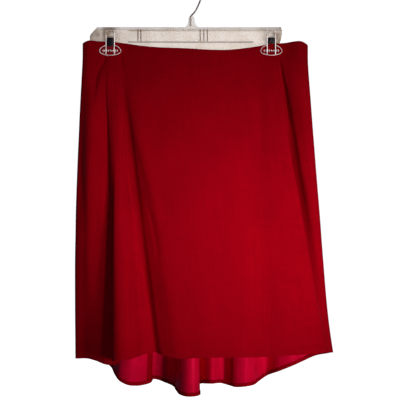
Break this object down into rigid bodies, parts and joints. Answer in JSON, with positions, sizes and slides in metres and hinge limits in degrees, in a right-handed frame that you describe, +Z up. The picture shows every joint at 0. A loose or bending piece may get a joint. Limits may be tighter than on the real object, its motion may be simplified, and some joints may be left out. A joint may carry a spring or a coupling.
{
  "type": "high-low skirt on a clip hanger",
  "caption": "Knee-length skirt of satin-backed crepe with a level front, a longer flared back in gores and a turned hem, hung by its waist from a clear clip hanger with a wire hook.",
  "frame": {"origin": "the lowest point of the hook's inside, where it rests on a rail, in the middle of the wire's thickness", "axes": "+Z up, the skirt's front faces -Y, +X to the right of someone who faces the front"},
  "size_m": [0.4914, 0.1443, 0.7751],
  "materials": {
    "red_crepe": "matte crepe outside, glossy satin inside",
    "turned_crepe": "matte crepe, pressed flat",
    "clear_plastic": "clear moulded",
    "spring_steel": "dark, lightly worn",
    "hook_wire": "drawn wire"
  },
  "bodies": {
    "root": {"front_panel": "red_crepe", "back_right_gore": "red_crepe", "back_centre_gore": "red_crepe", "back_left_gore": "red_crepe", "front_panel_first_allowance": "turned_crepe", "front_panel_last_allowance": "turned_crepe", "front_panel_hem_turn_up": "turned_crepe", "back_right_gore_first_allowance": "turned_crepe", "back_right_gore_last_allowance": "turned_crepe", "back_right_gore_hem_turn_up": "turned_crepe", "back_centre_gore_first_allowance": "turned_crepe", "back_centre_gore_last_allowance": "turned_crepe", "back_centre_gore_hem_turn_up": "turned_crepe", "back_left_gore_first_allowance": "turned_crepe", "back_left_gore_last_allowance": "turned_crepe", "back_left_gore_hem_turn_up": "turned_crepe", "hanger_bar": "clear_plastic", "clip_jaw_left": "clear_plastic", "clip_jaw_right": "clear_plastic", "clip_spring_left": "spring_steel", "clip_spring_right": "spring_steel", "hanger_hook": "hook_wire"}
  },
  "joints": []
}
